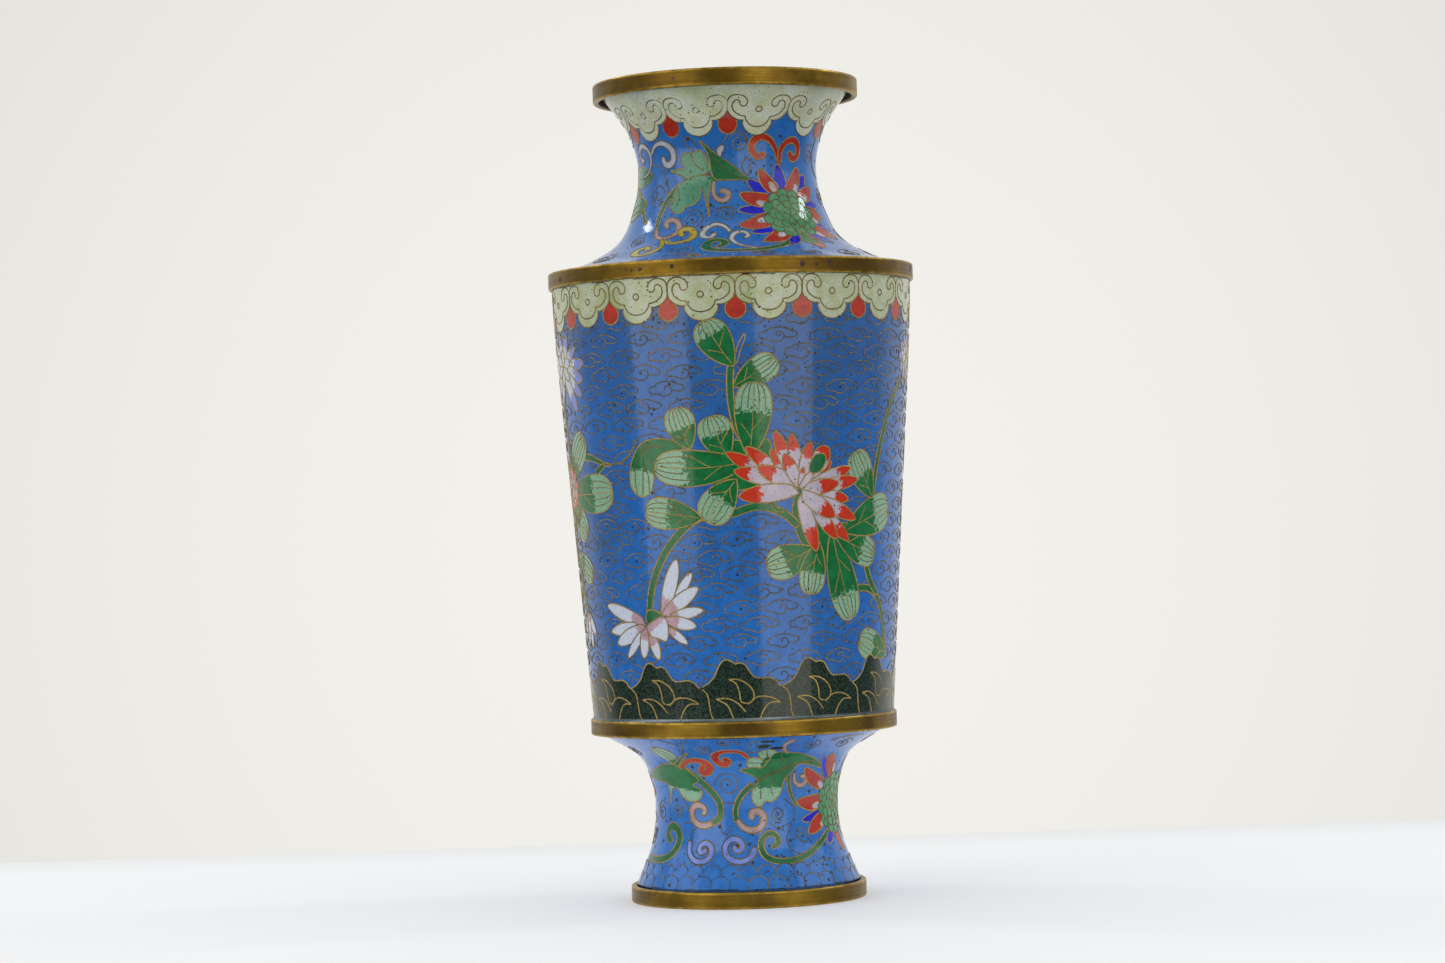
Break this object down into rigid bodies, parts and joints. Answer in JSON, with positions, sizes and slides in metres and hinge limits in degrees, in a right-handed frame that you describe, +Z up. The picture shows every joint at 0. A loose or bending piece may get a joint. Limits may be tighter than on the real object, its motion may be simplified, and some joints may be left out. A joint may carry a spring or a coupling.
{
  "type": "cloisonne vase",
  "caption": "Tall round vase with a flared neck, tapered body and waisted foot, enamelled in wire cells between brass bands; holds flowers or stands as an ornament.",
  "frame": {"origin": "centre of the foot band's bottom face, on the surface that the vase stands on", "axes": "+Z up along the vase's axis; -Y is the side with the large pink and red blossom"},
  "size_m": [0.103, 0.103, 0.23],
  "materials": {
    "brass_band": "aged satin brass, brushed round the band, with dark spots",
    "copper_sheet": "copper sheet, dull, hidden under enamel on both sides",
    "cloison_wire": "flat wire ground flush with the enamel, toned brown",
    "blue_enamel": "opaque cobalt-turquoise glass enamel, glossy, with fine pits",
    "pale_green_enamel": "opaque pale celadon enamel, glossy, mottled yellow and blue-green",
    "rock_enamel": "opaque black-green enamel, glossy, speckled",
    "lining_enamel": "opaque turquoise counter-enamel, uneven gloss"
  },
  "bodies": {
    "root": {"mouth_band": "brass_band", "shoulder_band": "brass_band", "waist_band": "brass_band", "foot_band": "brass_band", "neck_copper": "copper_sheet", "body_copper": "copper_sheet", "foot_copper": "copper_sheet", "base_plate": "copper_sheet", "neck_border_wire": "cloison_wire", "body_border_wire": "cloison_wire", "rock_border_wire": "cloison_wire", "neck_ground_enamel": "blue_enamel", "body_ground_enamel": "blue_enamel", "foot_enamel": "blue_enamel", "neck_border_enamel": "pale_green_enamel", "body_border_enamel": "pale_green_enamel", "rock_enamel": "rock_enamel", "neck_lining": "lining_enamel", "body_lining": "lining_enamel", "foot_lining": "lining_enamel", "base_lining": "lining_enamel", "base_enamel": "lining_enamel"}
  },
  "joints": []
}
